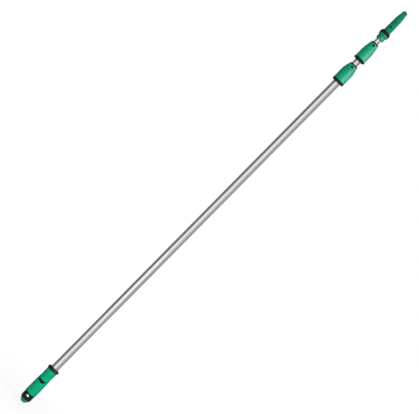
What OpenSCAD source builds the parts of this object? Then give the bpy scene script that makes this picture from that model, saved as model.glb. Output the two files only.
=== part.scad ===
// Telescopic pole for window cleaning: three round aluminium sections that slide in one another,
// two twist locks, a two-colour hand grip with a hang hole, and a tool cone with a sprung button.
// Shown pushed together and locked. The origin is the centre of the bottom tip, +Z runs up the pole,
// and -Y is the front, where the collar screws and the button are. All sizes are in millimetres.

/* [Tubes] */
// Outside diameter of the outer tube
outer_tube_d = 27; // [25:0.5:29]
// Step in outside diameter from one tube to the next
tube_step = 4; // [3.8:0.1:4.4]
// Wall of all three tubes
tube_wall = 1.2; // [1:0.05:1.3]
// Length of outer tube that shows between the grip and the lower lock
outer_show = 1329.3; // [300:0.1:1800]
// Length of middle tube that shows between the locks
middle_show = 21; // [5:0.5:60]
// Length of inner tube that shows under the tool cone
inner_show = 18; // [5:0.2:60]
// Length of middle tube that stays in the outer one when it is drawn out
overlap = 100.6; // [70:0.1:240]

/* [Grip] */
// Height of the green tip under the end cap
tip_h = 12.7; // [8:0.5:20]
// Diameter of the flat foot of the tip
tip_foot_d = 16.8; // [10:0.2:18]
// Number of flutes around the tip
flute_count = 14; // [8:1:18]
// Radius of the tool that cuts a flute
flute_r = 1.4; // [0.6:0.1:1.6]
// Height of the black end cap
cap_h = 24.8; // [24.6:0.2:34]
// Diameter of the end cap
cap_d = 38.5; // [37.5:0.1:42]
// Radius of the hang hole
hang_r = 5.8; // [4:0.1:7]
// Thickness of the cap across the two flats of the hang hole
hang_length = 26; // [24:0.1:35.2]
// Height of the lower rubber shell
low_shell_h = 60.8; // [50:0.5:90]
// Diameter of the lower shell at its foot
low_shell_d = 40.8; // [39:0.1:42]
// Diameter of the lower shell at its head
low_shell_top_d = 38.8; // [37.8:0.1:40]
// Width of the window in the lower shell's head
window_w = 25.6; // [18:0.2:27]
// Side shift of the window's middle to the left of the front
window_shift = 1.4; // [0:0.1:3]
// Height of the window beside its point
window_h = 8.7; // [6:0.1:10]
// Depth of the window's point under the shell's head
window_point = 11.9; // [9:0.1:13]
// Parting gap between the two shells
shell_gap = 0.6; // [0.2:0.1:1.5]
// Height of the upper rubber shell
up_shell_h = 42.4; // [30:0.5:70]
// Diameter of the upper shell at its waist
up_shell_d = 37.4; // [36:0.1:38]
// Diameter of the upper shell's lower lip
lip_d = 39; // [38.1:0.1:40]
// Height of the black bead at the head of the grip
bead_h = 9.4; // [8:0.2:14]
// Diameter of the black bead
bead_d = 44; // [41:0.5:48]
// Wall of the black core under the shells
core_wall = 2.45; // [2:0.05:2.6]
// Length of the cap's plug inside the outer tube
plug_h = 31; // [28:1:60]

/* [Locks] */
// Height of a lock, from the foot of its black ring to its top ring
lock_h = 79; // [78:0.5:90]
// Height of the black ring at the foot of a lock
foot_ring_h = 6.2; // [5:0.2:10]
// Diameter of the lower lock's black ring
lower_ring_d = 45; // [44.5:0.5:50]
// Diameter of the lower collar
lower_collar_d = 43.8; // [43:0.1:44.5]
// Diameter of the head of the lower collar
lower_head_d = 32.4; // [31.5:0.1:33.5]
// Height at which the lower collar starts to narrow
lower_straight = 47; // [42:1:50]
// Diameter of the upper lock's black ring
upper_ring_d = 42.2; // [42:0.2:48]
// Diameter of the upper collar
upper_collar_d = 40.4; // [39.6:0.1:41.5]
// Diameter of the head of the upper collar
upper_head_d = 29.6; // [28.5:0.1:30]
// Height at which the upper collar starts to narrow
upper_straight = 41; // [36:1:48]
// How full the narrowing of a collar is: 1 is a straight cone
collar_fullness = 1.25; // [1.1:0.05:1.4]
// Wall of a collar around its clamp
collar_wall = 3.4; // [3:0.1:3.6]
// Height of the thin ring on top of a collar
top_ring_h = 5; // [4:0.1:6]
// Rise of the wedge ring while its collar turns from locked to open
wedge_lift = 2; // [1:0.1:2]
// Number of fingers in a collet
finger_count = 6; // [4:1:8]
// Side turn of the lower collar's screw from the front, in degrees
lower_screw_turn = 6; // [0:1:40]
// Side turn of the upper collar's screw from the front, in degrees
upper_screw_turn = 6; // [0:1:40]

/* [Tool cone] */
// Height of the green sleeve at the foot of the cone
sleeve_h = 21; // [18:0.5:36]
// Diameter of the sleeve where it grips the tube
sleeve_d = 28.8; // [26:0.2:30]
// Diameter of the sleeve's waist under its flare
sleeve_waist_d = 27.6; // [25:0.1:28]
// Height of the black stop ring
stop_ring_h = 13; // [11:0.1:16]
// Diameter of the black stop ring
stop_ring_d = 37.4; // [35.5:0.1:40]
// Diameter of the round root of the cone, which a tool's socket slides over
cone_d = 26; // [25:0.1:26.5]
// Height of the round root of the cone
cone_root_h = 18; // [16:0.5:18]
// Height of the cone above the stop ring
cone_h = 93.5; // [88:0.1:110]
// Diameter of the round nose
nose_d = 18.4; // [16:0.2:19]
// Height of the screw above the stop ring
cone_screw_h = 20; // [19:0.1:24]
// Height of the button above the stop ring
button_h = 41.5; // [40:0.1:46]
// Radius of the button
button_r = 2.2; // [1.6:0.1:2.4]
// How far the button stands out of the cone's axis at rest
button_reach = 13.35; // [13:0.05:13.45]

/* [Fits] */
// Radial clearance of a running fit
run_fit = 0.08; // [0.04:0.01:0.1]
// Radial clearance between pieces that are joined for good
seat_fit = 0.05; // [0.02:0.01:0.08]
// Clearance of guides with flat sides
key_fit = 0.2; // [0.1:0.05:0.3]

/* [Hidden] */
$fn = 96;

// colours
tube_grey = [0.74, 0.75, 0.76];
collar_green = [0.10, 0.60, 0.45];
cone_green = [0.07, 0.47, 0.34];
grip_green = [0.04, 0.55, 0.40];
tip_green = [0.15, 0.48, 0.38];
black = [0.07, 0.09, 0.09];
bearing_white = [0.90, 0.90, 0.86];
steel = [0.62, 0.63, 0.65];

// tubes: 0 is the outer, 1 the middle and 2 the inner one
function tube_r(i) = (outer_tube_d - i * tube_step) / 2;
function bore_r(i) = tube_r(i) - tube_wall;

// heights up the grip
cap_top = tip_h + cap_h;
cap_step = 3.7; // step of the end cap inside the lower shell
tube_foot = cap_top + cap_step;
low_shell_top = cap_top + low_shell_h;
up_shell_z = low_shell_top + shell_gap;
up_shell_top = up_shell_z + up_shell_h;
bead_top = up_shell_top + bead_h;
core_r = tube_r(0) + seat_fit + core_wall;
cap_foot_r = cap_d / 2 - 1.9; // where the tip meets the cap
stem_r = 8; // bore in the cap for the tip's stem
stem_h = 4;
hang_up = 12.5; // hang hole over the foot of the cap
hang_z = tip_h + hang_up;
plug_top = tube_foot + plug_h;
plug_wall = 3.75;
cap_pin_up = 18;
cap_pin_z = tube_foot + cap_pin_up;
cap_pin_r = 2;

// locks: 0 is the lower and 1 the upper one. Heights inside a lock are counted from its foot.
function lock_z(i) = bead_top + outer_show + i * (lock_h + middle_show);
function ring_r(i) = (i == 0 ? lower_ring_d : upper_ring_d) / 2;
function collar_r(i) = (i == 0 ? lower_collar_d : upper_collar_d) / 2;
function head_r(i) = (i == 0 ? lower_head_d : upper_head_d) / 2;
function straight_h(i) = i == 0 ? lower_straight : upper_straight;
function screw_turn(i) = i == 0 ? lower_screw_turn : upper_screw_turn;
function land_r(i) = collar_r(i) - collar_wall;
collar_top = lock_h - top_ring_h;
collar_head = 11.6; // solid head of a collar over its thread
wedge_h = 12;
wedge_play = 0.6; // room over the lifted wedge ring
wedge_up = 4; // from the collet's foot to the wedge ring
shoulder_h = 2; // shoulder that caps the tube's end
thread_top = collar_top - collar_head;
wedge_z = thread_top - wedge_play - wedge_lift - wedge_h;
collet_z = wedge_z - wedge_up;
seat_h = collet_z - shoulder_h; // the tube's end inside the clamp base
flange_h = 1.7; // foot flange of the collet
base_top = collet_z + flange_h;
foot_land_top = 14; // top of the land over the foot ring
snap_z = 38.4; // snap ridge that keeps the collar down
snap_h = 2.4;
snap_out = 0.6;
relief_deep = 1.2; // moulded relief between the two lands
key_w = 4;
key_drop = 8;
key_slot_z = wedge_z - key_drop - 0.5;
slit_w = 1.5; // slit between two fingers of a collet
cone_gap = 0.08; // locked wedge ring to collet
rivet_z = 20;
rivet_r = 1.5;
rivet_head_r = 2.8;
function flange_r(i) = tube_r(i + 1) + 2.5;
function wedge_r(i) = tube_r(i + 1) + 4.1;
function skirt_r(i) = tube_r(i + 1) + 2.1;
function rivet_seat_r(i) = tube_r(i) + 1.5;
screw_z = thread_top + 4.2;
screw_deep = 2.5; // from a top ring's skirt out to the screw's seat
wiper_top = lock_h - 1.6; // the wiper's groove in a top ring
wiper_z = lock_h - 5;
wiper_out = 1.4;
screw_r = 1.4;
screw_head_r = 4.1;
screw_head_h = 1.3;

// heights of the sliding sections
vent_r = 5;
bush_flange = 4;
spigot_h = 16;
skirt_h = 30;
function bush_z(i) = plug_top + (i - 1) * (bush_flange + spigot_h);
function tube_z(i) = i == 0 ? tube_foot : bush_z(i) + bush_flange;
function tube_top(i) = i == 2 ? cone_z + inner_in_cone : lock_z(i) + seat_h;
stroke = tube_top(0) - tube_z(1) - overlap;
stop_h = 10;
stop_slack = 0.5;
stop_pin_r = 1;
function stop_z(i) = tube_top(i - 1) - stroke - stop_slack - stop_h;

// heights of the tool cone
sleeve_z = lock_z(1) + lock_h + inner_show;
sleeve_top = sleeve_z + sleeve_h;
neck_h = 9; // neck of the sleeve inside the cone
neck_r = tube_r(2) + 1.5;
foot_h = 3; // foot flange of the cone under the stop ring
foot_r = cone_d / 2 + 2.25;
ring_seat_r = cone_d / 2 - 0.4; // neck of the cone that the stop ring sits on
cone_z = sleeve_top + stop_ring_h;
inner_in_cone = 28.3; // inner tube inside the cone
pole_h = cone_z + cone_h;
cone_screw_z = cone_z + cone_screw_h;
cone_screw_seat = tube_r(2) + 1.9;
cone_screw_head_r = 3.2;
slot_w = 3;
slot_h = 9;
button_z = cone_z + button_h;
button_seat = 8.2; // inside face that stops the button, from the axis
button_flange_h = 2;
button_flange_r = button_r + 1.1;
spring_wire = 0.5;
spring_turns = 7;
spring_r = button_r - 0.1;
spring_sides = 8; // sides of the wire
spring_steps = 16; // steps in one turn
plug_face = 9; // inside face of the button's plug, from the axis
plug_r = button_flange_r + 0.6;
spring_low = -plug_face + spring_wire / 2 + seat_fit;
spring_high = button_seat - button_flange_h - spring_wire / 2 - seat_fit;
notch_h = 2.2; // three shallow notches over the cone's screw
notch_w = 8;
notch_step = 5.5;
notch_deep = 0.8;
nose_h = 8.5; // height of the round nose

// ---- helpers ----

// upright ring from height z0 to z1
module ring(outside, inside, z0, z1) {
    rotate_extrude() translate([inside, z0]) square([outside - inside, z1 - z0]);
}

// round bar along -Y, from y0 to y1 outside the axis, turned by a about the pole
module front_bar(r, y0, y1, z, a = 0, sides = $fn) {
    rotate(a) translate([0, -y0, z]) rotate([90, 0, 0]) cylinder(r = r, h = y1 - y0, $fn = sides);
}

// round bar across the pole along X
module cross_bar(r, length, z) {
    translate([-length / 2, 0, z]) rotate([0, 90, 0]) cylinder(r = r, h = length);
}

// plain tube with its ends square
module tube(i) {
    ring(tube_r(i), bore_r(i), tube_z(i), tube_top(i));
}

// ---- grip ----

flute_turn = 360 / flute_count / 2;

// green tip: a fluted cone with a stem that snaps into the cap
module end_tip() {
    lean = atan2(cap_foot_r - tip_foot_d / 2, tip_h);
    color(tip_green) difference() {
        union() {
            cylinder(r1 = tip_foot_d / 2, r2 = cap_foot_r, h = tip_h);
            translate([0, 0, tip_h - 1]) cylinder(r = stem_r - seat_fit, h = stem_h + 1);
        }
        for (k = [0:flute_count - 1])
            rotate(flute_turn + k * 360 / flute_count)
                translate([0, -tip_foot_d / 2 - flute_r / 2, 0])
                    rotate([lean, 0, 0])
                        translate([0, 0, -3]) cylinder(r = flute_r, h = tip_h * 1.9, $fn = 24);
    }
}

// black end cap: rounded skirt, hang hole with flats, and the plug inside the tube
module end_cap() {
    r = cap_d / 2;
    round_r = 6;
    round_z = tip_h + 5.3;
    web_z = hang_z - hang_r - 2.2;
    plug_floor = tube_foot - 2;
    plug = bore_r(0) - seat_fit;
    pocket_r = 1.6;
    pocket_z = tip_h + 2.2;
    pocket_floor = r - 2.8;
    bevel = [for (a = [0:15:45]) [r - round_r + round_r * cos(a), round_z - round_r * sin(a)]];
    outline = concat(
        [[stem_r, web_z], [0, web_z], [0, plug_floor], [plug - plug_wall, plug_floor]],
        [[plug - plug_wall, plug_top], [plug - 0.5, plug_top], [plug, plug_top - 1], [plug, tube_foot]],
        [[core_r - key_fit, tube_foot], [core_r - key_fit, cap_top], [r - 0.4, cap_top], [r, cap_top - 0.6]],
        bevel,
        [[cap_foot_r, tip_h], [stem_r, tip_h]]
    );
    color(black) difference() {
        rotate_extrude() polygon(outline);
        translate([0, 0, hang_z]) rotate([90, 0, 0]) cylinder(r = hang_r, h = cap_d + 2, center = true);
        for (side = [0, 180])
            front_bar(hang_r + 2, hang_length / 2, cap_d, hang_z, side);
        for (k = [0:flute_count - 1])
            front_bar(pocket_r, pocket_floor, r + 1, pocket_z, flute_turn + k * 360 / flute_count);
        cross_bar(cap_pin_r + 0.02, cap_d, cap_pin_z);
    }
}

// steel pin through the tube and the cap's plug
module cap_pin() {
    color(steel) cross_bar(cap_pin_r, 2 * tube_r(0) - 0.3, cap_pin_z);
}

// black core glued on the tube, under both shells
module grip_core() {
    color(black) ring(core_r, tube_r(0) + seat_fit, tube_foot, up_shell_top);
}

// broad window with sloping corners and a point, cut through the front of the lower shell's head
module window_shape() {
    left = -window_w / 2 - window_shift;
    right = window_w / 2 - window_shift;
    corner = 2;
    translate([0, low_shell_top]) polygon([
        [left, 1], [left, -window_h / 2], [left + corner, corner / 2 - window_h + 0.5],
        [-window_w / 6, -window_h], [0, -window_point], [window_w / 6, -window_h],
        [right - corner, corner / 2 - window_h + 0.5], [right, -window_h / 2], [right, 1]
    ]);
}

// lower green shell
module grip_shell_lower() {
    foot = low_shell_d / 2;
    head = low_shell_top_d / 2;
    inside = core_r + seat_fit;
    color(grip_green) difference() {
        rotate_extrude() polygon([
            [inside, cap_top], [foot - 1.2, cap_top], [foot - 0.3, cap_top + 0.8], [foot, cap_top + 2.5],
            [foot - 0.1, cap_top + low_shell_h * 0.35], [foot - 0.4, cap_top + low_shell_h * 0.65],
            [head, low_shell_top - 3], [head - 0.25, low_shell_top - 0.8], [head - 1, low_shell_top],
            [inside, low_shell_top]
        ]);
        rotate([90, 0, 0]) linear_extrude(cap_d) window_shape();
    }
}

// upper green shell, with a lip over the parting gap
module grip_shell_upper() {
    waist = up_shell_d / 2;
    lip = lip_d / 2;
    inside = core_r + seat_fit;
    color(grip_green) rotate_extrude() polygon([
        [inside, up_shell_z], [lip - 1, up_shell_z], [lip - 0.3, up_shell_z + 0.6],
        [lip, up_shell_z + 2], [lip, up_shell_z + 4.4], [lip - 0.4, up_shell_z + 6],
        [waist, up_shell_z + 9], [waist, up_shell_z + up_shell_h * 0.5],
        [waist + 0.4, up_shell_z + up_shell_h * 0.7], [waist + 0.5, up_shell_top], [inside, up_shell_top]
    ]);
}

// black rubber bead that ends the grip
module grip_bead() {
    inside = tube_r(0) + seat_fit;
    round_r = bead_h / 2;
    color(black) rotate_extrude() {
        translate([inside, up_shell_top]) square([bead_d / 2 - round_r - inside, bead_h]);
        intersection() {
            translate([bead_d / 2 - round_r, up_shell_top + round_r]) circle(r = round_r);
            translate([bead_d / 2 - round_r, up_shell_top]) square([round_r, bead_h]);
        }
    }
}

// ---- tubes ----

// outer tube, drilled for the cap's pin and the clamp's rivets
module outer_tube() {
    color(tube_grey) difference() {
        tube(0);
        cross_bar(cap_pin_r + seat_fit, 2 * outer_tube_d, cap_pin_z);
        rivet_holes(0, rivet_r + seat_fit);
    }
}

// middle tube, drilled for its stop pins and the upper clamp's rivets
module middle_tube() {
    color(tube_grey) difference() {
        tube(1);
        cross_bar(stop_pin_r + seat_fit, 2 * outer_tube_d, stop_z(1) + stop_h / 2);
        rivet_holes(1, rivet_r + seat_fit);
    }
}

// inner tube, drilled for its stop pins and the cone's screw
module inner_tube() {
    color(tube_grey) difference() {
        tube(2);
        cross_bar(stop_pin_r + seat_fit, 2 * outer_tube_d, stop_z(2) + stop_h / 2);
        front_bar(screw_r + seat_fit, 0, tube_r(2) + 1, cone_screw_z);
    }
}

// bearing bush on the foot of a sliding tube, with a vent through it
module guide_bush(i) {
    outside = bore_r(i - 1) - run_fit;
    spigot = bore_r(i) - seat_fit;
    skirt = tube_r(i) + seat_fit;
    color(bearing_white) translate([0, 0, bush_z(i)]) rotate_extrude() polygon([
        [vent_r, 0], [outside - 0.6, 0], [outside, 1], [outside, skirt_h], [skirt, skirt_h],
        [skirt, bush_flange], [spigot, bush_flange], [spigot, bush_flange + spigot_h - 0.6],
        [spigot - 0.4, bush_flange + spigot_h], [vent_r, bush_flange + spigot_h]
    ]);
}

// ring pinned on a sliding tube, which meets the clamp's shoulder when the section is drawn out
module stop_ring(i) {
    color(bearing_white) difference() {
        ring(bore_r(i - 1) - run_fit, tube_r(i) + seat_fit, stop_z(i), stop_z(i) + stop_h);
        cross_bar(stop_pin_r + seat_fit, 2 * outer_tube_d, stop_z(i) + stop_h / 2);
    }
}

// two short pins that hold the stop ring
module stop_pins(i) {
    color(steel) difference() {
        cross_bar(stop_pin_r, 2 * (bore_r(i - 1) - run_fit - 0.15), stop_z(i) + stop_h / 2);
        cross_bar(2 * stop_pin_r, 2 * (bore_r(i) + 0.1), stop_z(i) + stop_h / 2);
    }
}

module middle_guide_bush() guide_bush(1);
module middle_stop_ring() stop_ring(1);
module middle_stop_pins() stop_pins(1);
module inner_guide_bush() guide_bush(2);
module inner_stop_ring() stop_ring(2);
module inner_stop_pins() stop_pins(2);

// ---- twist locks ----

// holes for the two rivets that hold a clamp base on its tube
module rivet_holes(i, r) {
    for (side = [0, 180])
        front_bar(r, bore_r(i) - 2, ring_r(i), lock_z(i) + rivet_z, side);
}

// clamp base on the end of tube i: the black ring, the lands for the collar and the collet's seat
module clamp_base(i) {
    land = land_r(i);
    ring = ring_r(i);
    bore = tube_r(i) + seat_fit;
    seat = flange_r(i) + seat_fit;
    relief = land - relief_deep;
    color(black) difference() {
        translate([0, 0, lock_z(i)]) rotate_extrude() polygon([
            [bore, 0], [ring - 2.2, 0], [ring - 0.9, 0.5], [ring - 0.2, 1.6], [ring, 3],
            [ring, foot_ring_h - 1], [ring - 0.6, foot_ring_h], [land, foot_ring_h],
            [land, foot_land_top], [relief, foot_land_top + 1], [relief, snap_z - 5],
            [land, snap_z - 4], [land, snap_z],
            [land + snap_out, snap_z + 0.6], [land + snap_out, snap_z + 1.2], [land, snap_z + snap_h],
            [land, base_top], [seat, base_top], [seat, collet_z],
            [tube_r(i + 1) + run_fit, collet_z], [tube_r(i + 1) + run_fit, seat_h], [bore, seat_h]
        ]);
        rivet_holes(i, rivet_r + seat_fit);
        for (side = [0, 180])
            front_bar(rivet_head_r + seat_fit, rivet_seat_r(i), land, lock_z(i) + rivet_z, side);
        for (side = [0, 180])
            rotate(side) translate([flange_r(i) + 0.1, -key_w / 2 - key_fit, lock_z(i) + key_slot_z])
                cube([wedge_r(i) - flange_r(i) + 0.2, key_w + 2 * key_fit, base_top - key_slot_z + 1]);
    }
}

// two rivets through the clamp base and the tube
module clamp_rivets(i) {
    z = lock_z(i) + rivet_z;
    color(steel) for (side = [0, 180]) {
        front_bar(rivet_r, bore_r(i) + 0.15, rivet_seat_r(i) + 0.5, z, side);
        front_bar(rivet_head_r, rivet_seat_r(i), rivet_seat_r(i) + 1.3, z, side);
    }
}

// slit collet that grips the next tube
module collet(i) {
    bore = tube_r(i + 1) + run_fit;
    flange = flange_r(i);
    waist = tube_r(i + 1) + 1.4;
    color(bearing_white) difference() {
        translate([0, 0, lock_z(i)]) rotate_extrude() polygon([
            [bore, collet_z], [flange, collet_z], [flange, base_top], [waist, base_top + 0.5],
            [waist, wedge_z - 0.6], [collet_cone_r(i, wedge_z), wedge_z],
            [collet_cone_r(i, wedge_z + wedge_h), wedge_z + wedge_h], [bore, wedge_z + wedge_h]
        ]);
        for (k = [0:finger_count - 1])
            rotate((k + 0.5) * 360 / finger_count)
                translate([0, -slit_w / 2, lock_z(i) + base_top + 0.8])
                    cube([2 * flange, slit_w, wedge_z + wedge_h - base_top]);
    }
}

// outside of the collet's cone at height h in the lock
function collet_cone_r(i, h) = tube_r(i + 1) + 2.5 - (h - wedge_z) / wedge_h;

// wedge ring: its cone closes the collet and its two keys stop it from turning
module wedge_ring(i) {
    outside = wedge_r(i);
    low = collet_cone_r(i, wedge_z) + cone_gap;
    high = collet_cone_r(i, wedge_z + wedge_h) + cone_gap;
    color(black) translate([0, 0, lock_z(i)]) {
        difference() {
            translate([0, 0, wedge_z]) cylinder(r = outside, h = wedge_h);
            translate([0, 0, wedge_z]) cylinder(r1 = low, r2 = high, h = wedge_h);
        }
        intersection() {
            ring(outside, flange_r(i) + 0.3, wedge_z - key_drop, wedge_z + 1);
            translate([-2 * outside, -key_w / 2, 0]) cube([4 * outside, key_w, lock_h]);
        }
    }
}

// outside of the narrowing part of a collar at height h in the lock
function collar_out_r(i, h) =
    collar_r(i) - (collar_r(i) - head_r(i))
        * pow(max(0, h - straight_h(i)) / (collar_top - straight_h(i)), collar_fullness);

// green collar that the hand turns
module collar(i) {
    steps = 14;
    fit = land_r(i) + run_fit;
    groove = land_r(i) + snap_out + 0.3;
    thread = wedge_r(i) + run_fit;
    skirt = skirt_r(i) + seat_fit;
    shape = [
        for (k = [0:steps])
            let (h = straight_h(i) + (collar_top - straight_h(i)) * k / steps) [collar_out_r(i, h), h]
    ];
    seat = skirt_r(i) + screw_deep;
    color(collar_green) difference() {
        translate([0, 0, lock_z(i)]) rotate_extrude() polygon(concat(
            [[fit, foot_ring_h], [collar_r(i) - 0.7, foot_ring_h], [collar_r(i) - 0.1, foot_ring_h + 0.7]],
            [[collar_r(i), foot_ring_h + 2]],
            shape,
            [[skirt, collar_top], [skirt, thread_top], [thread, thread_top], [thread, base_top + 0.4]],
            [[fit, base_top + 0.4], [fit, snap_z + snap_h + 0.4], [groove, snap_z + snap_h + 0.1]],
            [[groove, snap_z - 0.1], [fit, snap_z - 0.4]]
        ));
        front_bar(screw_r + seat_fit, skirt_r(i) - 1, collar_r(i), lock_z(i) + screw_z, screw_turn(i));
        front_bar(screw_head_r + 0.1, seat, collar_r(i), lock_z(i) + screw_z, screw_turn(i));
    }
}

// thin ring on top of the collar; its skirt holds the wiper
module top_ring(i) {
    bore = tube_r(i + 1) + 0.5;
    groove = tube_r(i + 1) + wiper_out;
    foot = thread_top + key_fit;
    color(black) difference() {
        translate([0, 0, lock_z(i)]) rotate_extrude() polygon([
            [bore, foot], [skirt_r(i), foot], [skirt_r(i), collar_top],
            [head_r(i) - 0.1, collar_top], [head_r(i) - 0.45, collar_top + 1.8],
            [head_r(i) - 0.85, lock_h - 1.6], [head_r(i) - 1.6, lock_h - 0.6], [head_r(i) - 2.6, lock_h],
            [bore, lock_h], [bore, wiper_top], [groove, wiper_top], [groove, wiper_z], [bore, wiper_z]
        ]);
        front_bar(screw_r + seat_fit, bore - 0.5, skirt_r(i) + 1, lock_z(i) + screw_z, screw_turn(i));
    }
}

// rubber wiper that keeps grit off the sliding tube
module wiper(i) {
    lip = tube_r(i + 1) + run_fit;
    outside = tube_r(i + 1) + wiper_out - seat_fit;
    color(black) translate([0, 0, lock_z(i)]) rotate_extrude() polygon([
        [lip + 0.3, wiper_z], [outside, wiper_z], [outside, wiper_top], [lip, wiper_top], [lip, wiper_top - 1]
    ]);
}

// screw that ties the collar to its top ring, with a hexagon socket
module collar_screw(i) {
    seat = skirt_r(i) + screw_deep;
    z = lock_z(i) + screw_z;
    color(black) difference() {
        union() {
            front_bar(screw_r, skirt_r(i) - 1.3, seat + 0.4, z, screw_turn(i));
            front_bar(screw_head_r, seat, seat + screw_head_h, z, screw_turn(i));
        }
        front_bar(1.3, seat + 0.5, seat + 3, z, screw_turn(i), 6);
    }
}

module lower_clamp_base() clamp_base(0);
module lower_clamp_rivets() clamp_rivets(0);
module lower_collet() collet(0);
module lower_collar() collar(0);
module lower_top_ring() top_ring(0);
module lower_wiper() wiper(0);
module lower_collar_screw() collar_screw(0);
module lower_wedge_ring() wedge_ring(0);
module upper_clamp_base() clamp_base(1);
module upper_clamp_rivets() clamp_rivets(1);
module upper_collet() collet(1);
module upper_collar() collar(1);
module upper_top_ring() top_ring(1);
module upper_wiper() wiper(1);
module upper_collar_screw() collar_screw(1);
module upper_wedge_ring() wedge_ring(1);

// ---- tool cone ----

// green sleeve glued on the inner tube, which flares out under the stop ring
module cone_sleeve() {
    inside = tube_r(2) + seat_fit;
    r = sleeve_d / 2;
    waist = sleeve_waist_d / 2;
    rim = stop_ring_d / 2 - 0.3;
    flare_h = 8;
    flare_z = sleeve_top - flare_h - 0.8;
    flare = [for (a = [0:15:90]) [waist + (rim - waist) * sin(a), flare_z + flare_h * a / 90]];
    color(collar_green) rotate_extrude() polygon(concat(
        [[inside, sleeve_z], [r - 1.4, sleeve_z], [r - 0.3, sleeve_z + 1], [r, sleeve_z + 2.6]],
        [[r, flare_z - 3.6], [r - 0.2, flare_z - 2], [waist, flare_z - 1]],
        flare,
        [[rim, sleeve_top], [neck_r, sleeve_top]],
        [[neck_r, sleeve_top + neck_h], [inside, sleeve_top + neck_h]]
    ));
}

// black rubber stop ring, held between the sleeve and the cone's foot
module cone_stop_ring() {
    r = stop_ring_d / 2;
    foot = foot_r + seat_fit;
    root = ring_seat_r + seat_fit;
    color(black) translate([0, 0, sleeve_top]) rotate_extrude() polygon([
        [foot, 0], [r - 0.5, 0], [r, 0.8], [r, stop_ring_h - 5.5], [r - 0.8, stop_ring_h - 3.2],
        [r - 2.2, stop_ring_h - 1.1], [r - 3.4, stop_ring_h], [root + 0.9, stop_ring_h],
        [root, stop_ring_h - 0.9], [root, foot_h + 0.2], [foot, foot_h + 0.2]
    ]);
}

// height above the stop ring as a share of the cone's height
function up_cone(share) = cone_z + share * cone_h;

// dark green cone: round root, slow taper, neck and round nose
module tool_cone() {
    root = cone_d / 2;
    nose = nose_d / 2;
    nose_mid = pole_h - nose_h;
    dome = [for (a = [0:10:90]) [nose * cos(a), nose_mid + nose_h * sin(a)]];
    color(cone_green) difference() {
        rotate_extrude() polygon(concat(
            [[0, sleeve_top], [foot_r, sleeve_top], [foot_r, sleeve_top + foot_h]],
            [[ring_seat_r, sleeve_top + foot_h], [ring_seat_r, cone_z], [root, cone_z]],
            [[root, cone_z + cone_root_h], [root - 0.5, up_cone(0.45)], [root - 0.8, up_cone(0.58)]],
            [[root - 1.35, up_cone(0.68)], [root - 2, up_cone(0.75)], [root - 3, up_cone(0.81)]],
            [[nose - 0.2, up_cone(0.845)], [nose - 0.6, up_cone(0.86)], [nose - 0.6, up_cone(0.875)]],
            [[nose - 0.15, nose_mid - 2]],
            dome
        ));
        translate([0, 0, sleeve_top - 1]) cylinder(r = neck_r + seat_fit, h = neck_h + 1.3);
        translate([0, 0, sleeve_top]) cylinder(r = tube_r(2) + seat_fit, h = tube_top(2) - sleeve_top + 0.3);
        front_bar(screw_r + seat_fit, tube_r(2) - 1, root + 1, cone_screw_z);
        front_bar(cone_screw_head_r + 0.1, cone_screw_seat, root + 1, cone_screw_z);
        translate([-slot_w / 2, -root - 1, cone_screw_z]) cube([slot_w, notch_deep + 1, slot_h]);
        for (k = [0:2])
            translate([-root - 1, -notch_w / 2, cone_screw_z + notch_h + notch_step * k])
                cube([notch_deep + 1, notch_w, notch_h]);
        front_bar(button_r + run_fit, 0, root + 1, button_z);
        front_bar(button_flange_r + run_fit, -plug_face, button_seat, button_z);
        front_bar(plug_r + seat_fit, plug_face, root + 1, button_z, 180);
    }
}

// screw that holds the cone on the inner tube
module cone_screw() {
    color(black) difference() {
        union() {
            front_bar(screw_r, bore_r(2) + 0.2, cone_screw_seat + 0.4, cone_screw_z);
            front_bar(cone_screw_head_r, cone_screw_seat, cone_screw_seat + 0.9, cone_screw_z);
        }
        front_bar(1.2, cone_screw_seat + 0.3, cone_d, cone_screw_z, 0, 6);
    }
}

// sprung button that snaps into the hole of a tool's socket
module tool_button() {
    dome_r = 4;
    color(black) union() {
        front_bar(button_flange_r, button_seat - button_flange_h, button_seat, button_z);
        intersection() {
            front_bar(button_r, button_seat - 1, button_reach, button_z);
            translate([0, dome_r - button_reach, button_z]) sphere(r = dome_r);
        }
        front_bar(button_r, button_seat - 1, button_reach - 1.2, button_z);
    }
}

// threaded plug that closes the button's bore at the back
module button_plug() {
    face = cone_d / 2 - 1;
    color(black) difference() {
        front_bar(plug_r, plug_face, face, button_z, 180);
        translate([-3, face - 0.8, button_z - 0.5]) cube([6, 2, 1]);
    }
}

// one corner of the wire at a step of the coil
function spring_point(step, side) =
    let (
        turn = 360 * step / spring_steps,
        around = 360 * side / spring_sides,
        radius = spring_r - spring_wire / 2 + spring_wire / 2 * cos(around),
        along = spring_low + (spring_high - spring_low) * step / (spring_steps * spring_turns)
    )
    [radius * cos(turn), -along - spring_wire / 2 * sin(around), radius * sin(turn)];

// coil spring behind the button
module button_spring() {
    last = spring_steps * spring_turns;
    rings = [for (step = [0:last]) for (side = [0:spring_sides - 1]) spring_point(step, side)];
    walls = [
        for (step = [0:last - 1]) for (side = [0:spring_sides - 1])
            let (a = step * spring_sides, b = (side + 1) % spring_sides)
            [a + side, a + b, a + b + spring_sides, a + side + spring_sides]
    ];
    start = [for (side = [spring_sides - 1:-1:0]) side];
    end = [for (side = [0:spring_sides - 1]) last * spring_sides + side];
    color(steel) translate([0, 0, button_z]) polyhedron(rings, concat([start], walls, [end]));
}

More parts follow.
